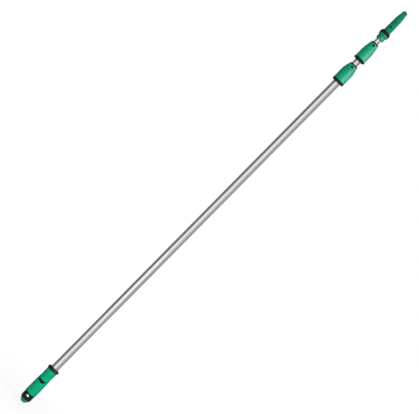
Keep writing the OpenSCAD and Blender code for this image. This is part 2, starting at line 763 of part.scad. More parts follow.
end_tip();
end_cap();
cap_pin();
grip_core();
grip_shell_lower();
grip_shell_upper();
grip_bead();
outer_tube();
lower_clamp_base();
lower_clamp_rivets();
lower_collet();
lower_collar();
lower_top_ring();
lower_wiper();
lower_collar_screw();
lower_wedge_ring();
middle_tube();
middle_guide_bush();
middle_stop_ring();
middle_stop_pins();
upper_clamp_base();
upper_clamp_rivets();
upper_collet();
upper_collar();
upper_top_ring();
upper_wiper();
upper_collar_screw();
upper_wedge_ring();
inner_tube();
inner_guide_bush();
inner_stop_ring();
inner_stop_pins();
cone_sleeve();
cone_stop_ring();
tool_cone();
cone_screw();
button_spring();
button_plug();
tool_button();
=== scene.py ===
"""Looks of a three-section telescopic window cleaning pole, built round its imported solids.

The frame is the one of the solids: the origin is the centre of the tip's foot, +Z runs up the pole
and -Y is the front. Pieces are modelled in millimetres and settled in metres.
"""
import math

import bmesh
import bpy
from mathutils import Matrix, Vector


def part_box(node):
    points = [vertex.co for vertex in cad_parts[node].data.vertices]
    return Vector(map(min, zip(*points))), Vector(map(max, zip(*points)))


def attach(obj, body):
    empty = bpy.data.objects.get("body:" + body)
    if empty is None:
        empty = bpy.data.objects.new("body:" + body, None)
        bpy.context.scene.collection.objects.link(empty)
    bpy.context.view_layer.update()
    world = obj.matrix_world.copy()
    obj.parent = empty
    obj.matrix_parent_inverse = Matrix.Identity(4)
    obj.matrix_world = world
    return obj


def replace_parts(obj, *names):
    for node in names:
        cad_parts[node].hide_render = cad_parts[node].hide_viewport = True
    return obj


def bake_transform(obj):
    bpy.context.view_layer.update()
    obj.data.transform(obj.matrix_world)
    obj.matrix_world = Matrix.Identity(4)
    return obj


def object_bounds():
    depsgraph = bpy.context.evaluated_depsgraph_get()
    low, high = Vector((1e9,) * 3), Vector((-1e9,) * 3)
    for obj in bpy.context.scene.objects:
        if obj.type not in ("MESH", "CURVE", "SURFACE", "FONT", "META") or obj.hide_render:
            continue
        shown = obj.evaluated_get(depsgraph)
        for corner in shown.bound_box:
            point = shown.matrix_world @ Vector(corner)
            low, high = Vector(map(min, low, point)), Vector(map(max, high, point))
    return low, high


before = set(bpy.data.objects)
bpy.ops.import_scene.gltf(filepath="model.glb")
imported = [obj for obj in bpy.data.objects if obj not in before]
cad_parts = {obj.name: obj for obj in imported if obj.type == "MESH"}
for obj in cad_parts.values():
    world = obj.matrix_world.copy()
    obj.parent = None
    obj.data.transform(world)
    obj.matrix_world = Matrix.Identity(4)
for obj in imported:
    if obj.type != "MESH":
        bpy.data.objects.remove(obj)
cad_box = [list(corner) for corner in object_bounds()]

MM = 0.001
TURN = 96  # steps round a turned piece
SHARP = math.radians(33)  # edges past this angle stay crisp


# ---- sizes read from the solids, in millimetres ----

def radius(node):
    """Greatest radius of a node about the pole's axis."""
    lowest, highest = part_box(node)
    return max(highest.x, -lowest.x) / MM


def foot(node):
    """Height of a node's lowest point."""
    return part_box(node)[0].z / MM


def top(node):
    """Height of a node's highest point."""
    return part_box(node)[1].z / MM


def middle(node):
    """Middle of a node's box."""
    lowest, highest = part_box(node)
    return (lowest + highest) / 2 / MM


TUBE_WALL = 1.2
SEAT_FIT = 0.05  # play round what is fixed
RUN_FIT = 0.08  # play round what slides or turns


# ---- finishes ----

NOISE_LOW, NOISE_HIGH = 0.3, 0.7  # most of a noise lies between these values


def new_finish(name):
    """Empty material with its principled shader, and a function that adds nodes to it."""
    finish = bpy.data.materials.new(name)
    finish.use_nodes = True
    tree = finish.node_tree
    shader = tree.nodes["Principled BSDF"]

    def node(kind, **sockets):
        added = tree.nodes.new(kind)
        for socket, value in sockets.items():
            added.inputs[socket].default_value = value
        return added

    return finish, tree.links.new, shader, node


def object_pattern(link, node, size, stretch=1.0, detail=3.0):
    """Noise whose grains are about size millimetres across and stretch times as long up the pole."""
    place = node("ShaderNodeTexCoord")
    scale = node("ShaderNodeMapping")
    scale.inputs["Scale"].default_value = (1, 1, 1 / stretch)
    noise = node("ShaderNodeTexNoise", Scale=1 / (size * MM), Detail=detail)
    link(place.outputs["Object"], scale.inputs["Vector"])
    link(scale.outputs["Vector"], noise.inputs["Vector"])
    return noise.outputs["Fac"]


def between(link, node, value, low, high):
    """Spreads a noise value over the range from low to high."""
    spread = node("ShaderNodeMapRange")
    spread.inputs["From Min"].default_value = NOISE_LOW
    spread.inputs["From Max"].default_value = NOISE_HIGH
    spread.inputs["To Min"].default_value = low
    spread.inputs["To Max"].default_value = high
    link(value, spread.inputs["Value"])
    return spread.outputs["Result"]


def shaded(link, node, value, dark, light):
    """Colour between two tones."""
    ramp = node("ShaderNodeValToRGB")
    ramp.color_ramp.elements[0].position = NOISE_LOW
    ramp.color_ramp.elements[0].color = (*dark, 1)
    ramp.color_ramp.elements[1].position = NOISE_HIGH
    ramp.color_ramp.elements[1].color = (*light, 1)
    link(value, ramp.inputs["Fac"])
    return ramp.outputs["Color"]


def relief(link, node, shader, heights, depth):
    """Fine relief of depth millimetres."""
    bump = node("ShaderNodeBump", Strength=1.0, Distance=depth * MM)
    link(heights, bump.inputs["Height"])
    link(bump.outputs["Normal"], shader.inputs["Normal"])


def moulded(name, tone, tint=0.12, rough=(0.36, 0.44), grain=0.5, depth=0.012, patch=9.0, sheen=0.0,
            gloss=0.12):
    """Moulded plastic or rubber: soft patches of tone, and a fine grain in its gloss and relief."""
    finish, link, shader, node = new_finish(name)
    dark = [part * (1 - tint) for part in tone]
    light = [min(1.0, part * (1 + tint)) for part in tone]
    patches = object_pattern(link, node, patch, detail=4.0)
    grains = object_pattern(link, node, grain)
    link(shaded(link, node, patches, dark, light), shader.inputs["Base Color"])
    link(between(link, node, grains, *rough), shader.inputs["Roughness"])
    relief(link, node, shader, grains, depth)
    shader.inputs["Specular IOR Level"].default_value = gloss
    if sheen:
        shader.inputs["Sheen Weight"].default_value = sheen
        shader.inputs["Sheen Roughness"].default_value = 0.45
        shader.inputs["Sheen Tint"].default_value = (0.75, 0.95, 1.0, 1)
    return finish


def drawn_metal(name, tone, rough=(0.26, 0.36), streak=0.5, length=60.0, depth=0.002, tint=0.05):
    """Metal with fine marks along the pole, as drawing leaves them."""
    finish, link, shader, node = new_finish(name)
    dark = [part * (1 - tint) for part in tone]
    light = [min(1.0, part * (1 + tint)) for part in tone]
    streaks = object_pattern(link, node, streak, stretch=length)
    bands = object_pattern(link, node, 6.0, stretch=25.0)
    link(shaded(link, node, bands, dark, light), shader.inputs["Base Color"])
    link(between(link, node, streaks, *rough), shader.inputs["Roughness"])
    relief(link, node, shader, streaks, depth)
    shader.inputs["Metallic"].default_value = 1.0
    return finish


FINISHES = {
    "aluminium_tube": drawn_metal("drawn_aluminium", (0.80, 0.80, 0.805), rough=(0.19, 0.28)),
    "collar_nylon": moulded("green_collar_nylon", (0.003, 0.37, 0.205), rough=(0.46, 0.54), sheen=0.1),
    "sleeve_nylon": moulded("green_sleeve_nylon", (0.004, 0.27, 0.16), rough=(0.46, 0.54), sheen=0.1),
    "cone_nylon": moulded("dark_green_cone_nylon", (0.004, 0.235, 0.132), rough=(0.34, 0.42), sheen=0.05),
    "grip_rubber": moulded("soft_green_grip_rubber", (0.0015, 0.25, 0.131), tint=0.07, rough=(0.55, 0.66),
                           grain=0.7, depth=0.03, patch=7.0),
    "tip_plastic": moulded("green_tip_plastic", (0.05, 0.36, 0.24), rough=(0.40, 0.48), sheen=0.25),
    "black_nylon": moulded("black_nylon", (0.010, 0.017, 0.016), tint=0.25, rough=(0.34, 0.42)),
    "black_rubber": moulded("black_rubber", (0.013, 0.016, 0.016), tint=0.25, rough=(0.52, 0.62), grain=0.6,
                            depth=0.02),
    "bearing_nylon": moulded("white_bearing_nylon", (0.75, 0.75, 0.70), tint=0.03),
    "steel": drawn_metal("bright_steel", (0.58, 0.58, 0.60), rough=(0.22, 0.32), length=8.0),
    "steel_black": drawn_metal("blackened_steel", (0.016, 0.017, 0.017), rough=(0.34, 0.46), length=3.0),
}


# ---- shop tools, all in millimetres ----

FILLET_SHARE = 0.48  # most of a side that the fillet at one of its ends takes


def rounded(corners, steps=5):
    """Points of a closed outline of (radius, height, fillet) corners, with an arc for each fillet."""
    points = []
    for k, (x, z, fillet) in enumerate(corners):
        here = Vector((x, z))
        if not fillet:
            points.append(here)
            continue
        back = Vector(corners[k - 1][:2]) - here
        ahead = Vector(corners[(k + 1) % len(corners)][:2]) - here
        half = back.angle(ahead) / 2
        room = min(back.length, ahead.length) * FILLET_SHARE
        reach = min(fillet / math.tan(half), room)
        arc_r = reach * math.tan(half)
        centre = here + (back.normalized() + ahead.normalized()).normalized() * arc_r / math.sin(half)
        start = here + back.normalized() * reach - centre
        end = here + ahead.normalized() * reach - centre
        sweep = start.angle(end)
        for step in range(steps + 1):
            share = step / steps
            swing = start * math.sin((1 - share) * sweep) + end * math.sin(share * sweep)
            points.append(centre + swing / math.sin(sweep))
    return points


def plain(*corners):
    """Corners without fillets."""
    return [(x, z, 0) for x, z in corners]


def turned(name, points, steps=TURN):
    """Solid of revolution of a closed outline. Points on the axis close it as poles."""
    bm = bmesh.new()
    verts = [bm.verts.new((point[0], 0, point[1])) for point in points]
    edges = [
        bm.edges.new((a, b)) for a, b in zip(verts, verts[1:] + verts[:1])
        if a.co.x > 1e-6 or b.co.x > 1e-6
    ]
    bmesh.ops.spin(
        bm, geom=verts + edges, cent=(0, 0, 0), axis=(0, 0, 1), dvec=(0, 0, 0), angle=math.tau,
        steps=steps, use_merge=True, use_normal_flip=False, use_duplicate=False,
    )
    return made(name, bm)


def bar(bar_r, start, end, sides=48):
    """Round bar between two points."""
    start, end = Vector(start), Vector(end)
    bm = bmesh.new()
    turn = (end - start).to_track_quat("Z", "Y").to_matrix().to_4x4()
    bmesh.ops.create_cone(
        bm, cap_ends=True, segments=sides, radius1=bar_r, radius2=bar_r, depth=(end - start).length,
        matrix=Matrix.Translation((start + end) / 2) @ turn,
    )
    return made("bar", bm)


def block(lowest, highest):
    """Box between two corners."""
    lowest, highest = Vector(lowest), Vector(highest)
    bm = bmesh.new()
    bmesh.ops.create_cube(bm, size=1)
    bmesh.ops.scale(bm, vec=highest - lowest, verts=bm.verts)
    bmesh.ops.translate(bm, vec=(lowest + highest) / 2, verts=bm.verts)
    return made("block", bm)


def front(angle, out, z):
    """Point at a distance out from the axis, turned by angle degrees from the front towards +X."""
    turn = math.radians(angle)
    return Vector((out * math.sin(turn), -out * math.cos(turn), z))


def made(name, bm):
    """Object of a finished bmesh, closed and with its faces outwards."""
    bmesh.ops.remove_doubles(bm, verts=bm.verts, dist=1e-4)
    bmesh.ops.dissolve_degenerate(bm, dist=1e-5, edges=bm.edges)
    bmesh.ops.recalc_face_normals(bm, faces=bm.faces)
    mesh = bpy.data.meshes.new(name)
    bm.to_mesh(mesh)
    bm.free()
    piece = bpy.data.objects.new(name, mesh)
    bpy.context.scene.collection.objects.link(piece)
    return piece


def cut(piece, *tools):
    """Takes the tools away from a piece."""
    for tool in tools:
        step = piece.modifiers.new("cut", "BOOLEAN")
        step.operation = "DIFFERENCE"
        step.solver = "EXACT"
        step.object = tool
    ready = piece.evaluated_get(bpy.context.evaluated_depsgraph_get())
    mesh = bpy.data.meshes.new_from_object(ready)
    piece.modifiers.clear()
    piece.data = mesh
    for tool in tools:
        bpy.data.objects.remove(tool)
    return piece


def softened(piece, width, steps=2):
    """Breaks the crisp edges that cutting left."""
    bm = bmesh.new()
    bm.from_mesh(piece.data)
    bmesh.ops.remove_doubles(bm, verts=bm.verts, dist=0.02)
    crisp = [edge for edge in bm.edges if len(edge.link_faces) == 2 and edge.calc_face_angle(0) > SHARP]
    bmesh.ops.bevel(
        bm, geom=crisp, offset=width, offset_type="OFFSET", segments=steps, profile=0.5,
        affect="EDGES", material=-1, clamp_overlap=False,
    )
    bm.to_mesh(piece.data)
    bm.free()
    return piece


def settled(piece, slot, finish=None):
    """Brings a piece to metres and gives it its finish, its slot's one by default."""
    piece.data.transform(Matrix.Scale(MM, 4))
    piece.data.shade_smooth()
    piece.data.set_sharp_from_angle(angle=SHARP)
    piece.data.materials.clear()
    piece.data.materials.append(FINISHES[finish or slot])
    return piece


def fitted(piece, body, slot, finish=None):
    """Settles a piece and lets it ride on a body."""
    settled(piece, slot, finish)
    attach(piece, body)
    return piece


# ---- grip ----

CAP_TOP = foot("grip_shell_lower")  # the cap's skirt ends here, and its plug goes on up the tube
TIP_TOP = foot("end_cap")
TIP_FOOT_R = 8.4
FLUTES = 14
FLUTE_R = 1.4
STEM_R = 7.9  # stem that holds the tip in the cap
STEM_H = 4
HANG_R = 5.8
HANG_Z = TIP_TOP + 12.5
FLAT_R = HANG_R + 2
FLAT_OUT = 13  # from the axis to each of the two flats round the hang hole
SKIRT_R = 6  # rounding at the cap's foot
SKIRT_Z = TIP_TOP + 5.3
POCKET_R = 1.6
POCKET_Z = TIP_TOP + 2.2
POCKET_DEEP = 2.8
CAP_PLUG_R = 12.2
CAP_PLUG_BORE_R = 8.5


def fluted_tip():
    """Green tip: a soft cone with flutes round its side."""
    top_r = radius("end_tip")
    side = [(TIP_FOOT_R + (top_r - TIP_FOOT_R) * k / 10, TIP_TOP * k / 10, 0) for k in range(1, 10)]
    outline = rounded(
        [(0, 0, 0), (TIP_FOOT_R, 0, 1.0), *side, (top_r, TIP_TOP, 0.2), (STEM_R, TIP_TOP, 0),
         (STEM_R, TIP_TOP + STEM_H, 0.5), (0, TIP_TOP + STEM_H, 0)]
    )
    piece = turned("end_tip_moulding", outline, steps=FLUTES * 18)
    pitch = math.tau / FLUTES
    for vert in piece.data.vertices:
        out = math.hypot(vert.co.x, vert.co.y)
        if out < TIP_FOOT_R * 0.8 or vert.co.z > TIP_TOP - 0.01:
            continue
        angle = math.atan2(vert.co.x, -vert.co.y)
        across = out * math.sin(((angle / pitch) % 1 - 0.5) * pitch)
        if abs(across) < FLUTE_R:
            depth = math.sqrt(FLUTE_R ** 2 - across ** 2) - FLUTE_R / 2
            if depth > 0:
                vert.co.xy *= (out - depth) / out
    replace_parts(fitted(piece, "outer_section", "tip_plastic"), "end_tip")


def holed_cap():
    """Black end cap with its hang hole, two flats round the hole, and pockets over the flutes."""
    r = radius("end_cap")
    inner_r = radius("grip_core") - 0.25
    stem_bore = STEM_R + 0.1
    stem_roof = HANG_Z - HANG_R - 2.2
    plug_foot, plug_floor, plug_top = CAP_TOP + 3.7, CAP_TOP + 1.7, top("end_cap")
    skirt = []
    for a in range(45, -1, -9):
        swing = math.radians(a)
        skirt.append((r - SKIRT_R + SKIRT_R * math.cos(swing), SKIRT_Z - SKIRT_R * math.sin(swing), 0))
    outline = rounded(
        [(0, stem_roof, 0), (stem_bore, stem_roof, 0), (stem_bore, TIP_TOP, 0.2),
         (radius("end_tip"), TIP_TOP, 0.3), *skirt, (r, CAP_TOP, 0.5), (inner_r, CAP_TOP, 0),
         (inner_r, plug_foot, 0), (CAP_PLUG_R, plug_foot, 0), (CAP_PLUG_R, plug_top, 0.8),
         (CAP_PLUG_BORE_R, plug_top, 0), (CAP_PLUG_BORE_R, plug_floor, 0), (0, plug_floor, 0)]
    )
    piece = turned("end_cap_moulding", outline, steps=144)
    tools = [bar(HANG_R, (0, -r - 1, HANG_Z), (0, r + 1, HANG_Z), sides=72)]
    for side in (0, 180):
        tools.append(bar(FLAT_R, front(side, FLAT_OUT, HANG_Z), front(side, r + 2, HANG_Z), sides=72))
    for k in range(FLUTES):
        turn = (k + 0.5) * 360 / FLUTES
        start = front(turn, r - POCKET_DEEP, POCKET_Z)
        tools.append(bar(POCKET_R, start, front(turn, r + 2, POCKET_Z), sides=32))
    softened(cut(piece, *tools), 0.3)
    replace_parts(fitted(piece, "outer_section", "black_nylon"), "end_cap")


def grip_core_tube():
    """Black tube under the two shells."""
    r = radius("grip_core")
    inner_r = radius("outer_tube") + SEAT_FIT
    low, high = foot("grip_core"), top("grip_core")
    outline = rounded(plain((inner_r, low), (r, low), (r, high), (inner_r, high)))
    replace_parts(fitted(turned("grip_core_sleeve", outline), "outer_section", "black_nylon"), "grip_core")


def window_tool(top_z):
    """Cutter for the window: broad under the shell's head, with a point under the front."""
    outside, inside = -30, -2
    points = [(-14.45, 4), (-14.45, -4.4), (-12.3, -7.2), (-4.3, -8.7), (0, -11.9), (4.3, -8.7), (9.4, -7.2),
              (11.4, -4.4), (11.4, 4)]
    bm = bmesh.new()
    verts = [bm.verts.new((x, outside, top_z + z)) for x, z in points]
    round_off = [vert for vert, (x, z) in zip(verts, points) if z < 0]
    bm.faces.new(verts)
    bmesh.ops.bevel(
        bm, geom=round_off, offset=1.1, offset_type="OFFSET", segments=4, profile=0.5, affect="VERTICES",
        material=-1,
    )
    out = bmesh.ops.extrude_face_region(bm, geom=list(bm.faces))
    moved = [item for item in out["geom"] if isinstance(item, bmesh.types.BMVert)]
    bmesh.ops.translate(bm, vec=(0, inside - outside, 0), verts=moved)
    return made("window", bm)


def lower_shell():
    """Lower rubber shell of the grip, with its window."""
    r = radius("grip_shell_lower")
    low, high = foot("grip_shell_lower"), top("grip_shell_lower")
    inner_r = radius("grip_core") + SEAT_FIT
    length = high - low
    outline = rounded(
        [(inner_r, low, 0), (r, low, 1.8), (r - 0.1, low + length * 0.35, 12),
         (r - 0.4, low + length * 0.65, 12), (r - 0.9, high, 1.2), (inner_r, high, 0)], steps=8,
    )
    piece = turned("grip_lower_shell", outline, steps=144)
    softened(cut(piece, window_tool(high)), 0.45, steps=3)
    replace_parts(fitted(piece, "outer_section", "grip_rubber"), "grip_shell_lower")


def upper_shell():
    """Upper rubber shell, with its lip over the parting gap."""
    lip = radius("grip_shell_upper")
    waist = 18.7
    low, high = foot("grip_shell_upper"), top("grip_shell_upper")
    inner_r = radius("grip_core") + SEAT_FIT
    outline = rounded(
        [(inner_r, low, 0), (lip, low, 1.0), (lip, low + 5.2, 1.2), (waist, low + 8.5, 3.0),
         (waist, low + 20, 8), (waist + 0.4, low + 28, 8), (waist + 0.5, high, 0.4), (inner_r, high, 0)],
        steps=7,
    )
    piece = turned("grip_upper_shell", outline, steps=144)
    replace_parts(fitted(piece, "outer_section", "grip_rubber"), "grip_shell_upper")


def end_bead():
    """Round black bead that ends the grip."""
    r = radius("grip_bead")
    low, high = foot("grip_bead"), top("grip_bead")
    inner_r = radius("outer_tube") + SEAT_FIT
    outline = rounded([(inner_r, low, 0), (r, low, 5), (r, high, 5), (inner_r, high, 0.5)], steps=12)
    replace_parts(fitted(turned("grip_end_bead", outline), "outer_section", "black_rubber"), "grip_bead")


# ---- tubes ----

def drawn_tube(node, body):
    """Drawn tube with its sawn ends just broken."""
    r = radius(node)
    low, high = foot(node), top(node)
    edge = 0.25
    outline = rounded(
        [(r - TUBE_WALL, low, edge), (r, low, edge), (r, high, edge), (r - TUBE_WALL, high, edge)], steps=2
    )
    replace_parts(fitted(turned(node + "_drawn", outline, steps=128), body, "aluminium_tube"), node)


# ---- twist locks ----

# heights from a lock's foot
STRAIGHT = {"lower": 47, "upper": 41}  # a collar is straight up to here
RING_H = 6.2
SNAP_UP = 38.4  # ridge that keeps a collar down
COLLET_UP = 43.8
THREAD_TOP = 62.4
SCREW_UP = THREAD_TOP + 4.2

# distances out from the gripped tube
WIPER_OUT = 1.4
HOST_OUT = 2  # surface of the tube that carries the lock
SKIRT_OUT = 2.1
COLLET_OUT = 2.5
THREAD_OUT = 4.1
SCREW_SEAT = 4.6  # underside of the collar screw's head

FULLNESS = 1.25  # power of a collar's curve
COLLAR_WALL = 3.4
WIPER_H = 3.4
TOP_RING_H = 5  # the part of it that shows
SCREW_TURN = 6  # degrees to the right of the front
SCREW_HEAD_R = 4.1
SCREW_SHANK_R = 1.4


def lock_sizes(lock):
    """Foot of a lock, radius of the tube it grips, and radii of its collar and head."""
    guest = radius("middle_tube" if lock == "lower" else "inner_tube")
    return foot(lock + "_clamp_base"), guest, radius(lock + "_collar"), radius(lock + "_top_ring")


def clamp_base(lock, body):
    """Black clamp base: only its foot ring shows under the collar."""
    z, guest, collar_r, _ = lock_sizes(lock)
    ring_r = radius(lock + "_clamp_base")
    bore = guest + HOST_OUT + SEAT_FIT
    land = collar_r - COLLAR_WALL
    waist = land - 1.2
    snap_r = land + 0.6
    snap = z + SNAP_UP
    seat = guest + COLLET_OUT + SEAT_FIT
    collet = z + COLLET_UP
    shoulder = collet - 2
    head = collet + 1.7
    outline = rounded(
        [(bore, z, 0.3), (ring_r, z, 2.2), (ring_r, z + RING_H, 0.7), (land, z + RING_H, 0),
         (land, z + 14, 0), (waist, z + 15, 0), (waist, z + 33.4, 0), (land, z + 34.4, 0),
         (land, snap, 0), (snap_r, snap + 0.6, 0), (snap_r, snap + 1.2, 0), (land, snap + 2.4, 0),
         (land, head, 0), (seat, head, 0), (seat, collet, 0), (guest + RUN_FIT, collet, 0),
         (guest + RUN_FIT, shoulder, 0), (bore, shoulder, 0)], steps=6,
    )
    piece = turned(lock + "_clamp_base_moulding", outline)
    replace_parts(fitted(piece, body, "black_nylon"), lock + "_clamp_base")


def collar(lock):
    """Green collar: straight at its foot, drawn in towards its head, with a recess for its screw."""
    z, guest, r, head_r = lock_sizes(lock)
    high = top(lock + "_collar")
    straight = STRAIGHT[lock]
    head_r += 0.1
    wall = r - COLLAR_WALL + RUN_FIT
    groove = wall + 0.8
    snap = z + SNAP_UP
    thread = guest + THREAD_OUT + RUN_FIT
    thread_foot, thread_top = z + COLLET_UP + 2.1, z + THREAD_TOP
    skirt = guest + SKIRT_OUT + SEAT_FIT
    steps = 24
    side = []
    for k in range(steps + 1):
        share = k / steps
        side.append((r - (r - head_r) * share ** FULLNESS, z + straight + (high - z - straight) * share, 0))
    outline = rounded(
        [(wall, z + RING_H, 0), (r, z + RING_H, 1.2), *side, (skirt, high, 0), (skirt, thread_top, 0),
         (thread, thread_top, 0), (thread, thread_foot, 0), (wall, thread_foot, 0), (wall, snap + 2.8, 0),
         (groove, snap + 2.5, 0), (groove, snap - 0.1, 0), (wall, snap - 0.4, 0)]
    )
    piece = turned(lock + "_collar_moulding", outline, steps=128)
    seat = guest + SCREW_SEAT
    up = z + SCREW_UP
    recess = bar(SCREW_HEAD_R + 0.15, front(SCREW_TURN, seat, up), front(SCREW_TURN, r + 2, up))
    hole = bar(SCREW_SHANK_R + 0.1, front(SCREW_TURN, skirt - 1, up), front(SCREW_TURN, seat + 1, up))
    softened(cut(piece, recess, hole), 0.3)
    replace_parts(fitted(piece, lock + "_lock", "collar_nylon"), lock + "_collar")


def top_ring(lock):
    """Thin black ring on top of a collar, with the wiper's lip inside it."""
    z, guest, _, head_r = lock_sizes(lock)
    high = top(lock + "_top_ring")
    low = high - TOP_RING_H
    bore = guest + 0.5
    groove = guest + WIPER_OUT
    groove_top = high - 1.6
    skirt = guest + SKIRT_OUT
    skirt_foot = z + THREAD_TOP + 0.2
    outline = rounded(
        [(bore, skirt_foot, 0), (skirt, skirt_foot, 0), (skirt, low, 0), (head_r, low, 0.3),
         (head_r - 0.35, high - 3.2, 2), (head_r - 0.75, high - 1.6, 2), (head_r - 1.5, high - 0.6, 1),
         (head_r - 2.5, high, 0.8), (bore, high, 0.4), (bore, groove_top, 0), (groove, groove_top, 0),
         (groove, low, 0), (bore, low, 0)]
    )
    piece = turned(lock + "_top_ring_moulding", outline)
    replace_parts(fitted(piece, lock + "_lock", "black_nylon"), lock + "_top_ring")


def wiper(lock):
    """Rubber lip that keeps grit off the sliding tube."""
    _, guest, _, _ = lock_sizes(lock)
    high = top(lock + "_wiper")
    low = high - WIPER_H
    lip = guest + RUN_FIT
    r = guest + WIPER_OUT - SEAT_FIT
    outline = rounded(plain((lip + 0.3, low), (r, low), (r, high), (lip, high), (lip, high - 1)))
    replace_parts(fitted(turned(lock + "_wiper_lip", outline), lock + "_lock", "black_rubber"), lock + "_wiper")


def socket_screw(name, angle, z, end, seat, head_r, head_h, socket_r):
    """Screw that points at the axis, with a hexagon socket in its crowned head."""
    outline = rounded(
        [(0, end, 0), (SCREW_SHANK_R, end, 0.2), (SCREW_SHANK_R, seat, 0), (head_r, seat, 0.1),
         (head_r, seat + head_h, 0.45), (0, seat + head_h, 0)], steps=4,
    )
    piece = turned(name, outline, steps=48)
    cut(piece, bar(socket_r, (0, 0, seat + head_h * 0.35), (0, 0, seat + head_h + 2), sides=6))
    turn = Matrix.Rotation(math.radians(angle), 4, "Z") @ Matrix.Rotation(math.radians(90), 4, "X")
    piece.data.transform(Matrix.Translation((0, 0, z)) @ turn)
    return softened(piece, 0.1, steps=1)


def collar_screw(lock):
    """Screw in the collar's recess, which holds the top ring's skirt."""
    z, guest, _, _ = lock_sizes(lock)
    piece = socket_screw(
        lock + "_collar_screw_machined", SCREW_TURN, z + SCREW_UP, end=guest + 0.8,
        seat=guest + SCREW_SEAT, head_r=SCREW_HEAD_R, head_h=1.3, socket_r=1.3,
    )
    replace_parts(fitted(piece, lock + "_lock", "steel_black"), lock + "_collar_screw")


# ---- tool cone ----

NECK_R = 11  # the sleeve's neck stands in the cone's foot
NECK_H = 9
FLANGE_R = 15.25  # the cone's flange lies in the stop ring
FLANGE_H = 3
CONE_FOOT_R = 12.6
CONE_SCREW_R = 3.2
CONE_SCREW_SEAT = radius("inner_tube") + 1.9  # its head's underside, from the pole's axis
BUTTON_R = 2.2
BUTTON_STOP_R = 3.3
BUTTON_STOP = 8.2  # the button's stop ends here, from the pole's axis
PLUG_R = 3.9
PLUG_SEAT = 9  # distance behind the pole's axis


def sleeve():
    """Green sleeve on the inner tube, flaring out under the stop ring."""
    inner_r = radius("inner_tube") + SEAT_FIT
    r = 14.4
    waist = 13.8
    rim = radius("cone_sleeve")
    low = foot("cone_sleeve")
    high = foot("cone_stop_ring")
    flare_z = high - 8.8
    flare = []
    for k in range(13):
        share = k / 12
        flare.append((waist + (rim - waist) * math.sin(share * math.pi / 2), flare_z + 8 * share, 0))
    outline = rounded(
        [(inner_r, low, 0.3), (r, low, 2.0), (r, flare_z - 3, 1.5), (waist, flare_z - 1, 1.0), *flare,
         (rim, high, 0.3), (NECK_R, high, 0), (NECK_R, high + NECK_H, 0), (inner_r, high + NECK_H, 0)]
    )
    piece = turned("cone_sleeve_moulding", outline)
    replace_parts(fitted(piece, "inner_section", "collar_nylon", "sleeve_nylon"), "cone_sleeve")


def stop_ring():
    """Black rubber ring that a tool's socket rests on."""
    r = radius("cone_stop_ring")
    low, high = foot("cone_stop_ring"), top("cone_stop_ring")
    recess, ledge = FLANGE_R + SEAT_FIT, low + FLANGE_H + 0.2
    inner_r = CONE_FOOT_R + SEAT_FIT
    outline = rounded(
        [(recess, low, 0), (r, low, 0.9), (r, high - 4.4, 4), (r - 3, high, 1.5), (inner_r + 0.9, high, 0),
         (inner_r, high - 0.9, 0), (inner_r, ledge, 0), (recess, ledge, 0)], steps=8
    )
    piece = turned("cone_stop_ring_rubber", outline)
    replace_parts(fitted(piece, "inner_section", "black_rubber"), "cone_stop_ring")


def cone():
    """Dark green cone: round root, slow taper, neck and round nose; slot, notches and button hole."""
    low = top("cone_stop_ring")
    base = foot("tool_cone")
    high = top("tool_cone")
    length = high - low
    tube, tube_end = radius("inner_tube") + SEAT_FIT, base + 44
    neck, neck_top = NECK_R + SEAT_FIT, base + NECK_H + 0.3
    flange_top = base + FLANGE_H
    root = 13
    nose = 9.2
    dome_h = 8.5
    nose_z = high - dome_h

    def up(share):
        return low + share * length

    dome = []
    for a in range(8, 90, 8):
        swing = math.radians(a)
        dome.append((nose * math.cos(swing), nose_z + dome_h * math.sin(swing), 0))
    outline = rounded(
        [(0, tube_end, 0), (tube, tube_end, 0), (tube, neck_top, 0), (neck, neck_top, 0),
         (neck, base, 0), (FLANGE_R, base, 0), (FLANGE_R, flange_top, 0), (CONE_FOOT_R, flange_top, 0),
         (CONE_FOOT_R, low, 0), (root, low, 0), (root, low + 18, 4),
         (root - 0.5, up(0.45), 6), (root - 0.8, up(0.58), 6),
         (root - 1.35, up(0.68), 5), (root - 2, up(0.75), 4), (root - 3, up(0.81), 3),
         (nose - 0.25, up(0.85), 1.5), (nose - 0.62, up(0.867), 1.2), (nose - 0.2, nose_z - 2, 1.5),
         (nose, nose_z, 0), *dome, (0, high, 0)], steps=4,
    )
    piece = turned("tool_cone_moulding", outline, steps=144)
    screw_z = middle("cone_screw").z
    button_z = middle("tool_button").z
    outside = 20
    floor_r = root - 0.8  # of the slot and the notches
    notch, pitch = 2.2, 5.5
    tools = [
        bar(CONE_SCREW_R + 0.1, (0, -CONE_SCREW_SEAT, screw_z), (0, -outside, screw_z)),
        bar(BUTTON_R + RUN_FIT, (0, -4, button_z), (0, -outside, button_z)),
        bar(BUTTON_STOP_R + RUN_FIT, (0, PLUG_SEAT, button_z), (0, -BUTTON_STOP, button_z)),
        bar(PLUG_R + SEAT_FIT, (0, PLUG_SEAT, button_z), (0, outside, button_z)),
        block((-1.5, -outside, screw_z), (1.5, -floor_r, screw_z + 9)),
    ]
    for k in range(3):
        z = screw_z + notch + pitch * k
        tools.append(block((-outside, -4, z), (-floor_r, 4, z + notch)))
    softened(cut(piece, *tools), 0.22)
    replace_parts(fitted(piece, "inner_section", "cone_nylon"), "tool_cone")


def cone_screw():
    """Screw that holds the cone on the inner tube."""
    piece = socket_screw(
        "cone_screw_machined", 0, middle("cone_screw").z, end=radius("inner_tube") - 1,
        seat=CONE_SCREW_SEAT, head_r=CONE_SCREW_R, head_h=0.9, socket_r=1.2,
    )
    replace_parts(fitted(piece, "inner_section", "steel_black"), "cone_screw")


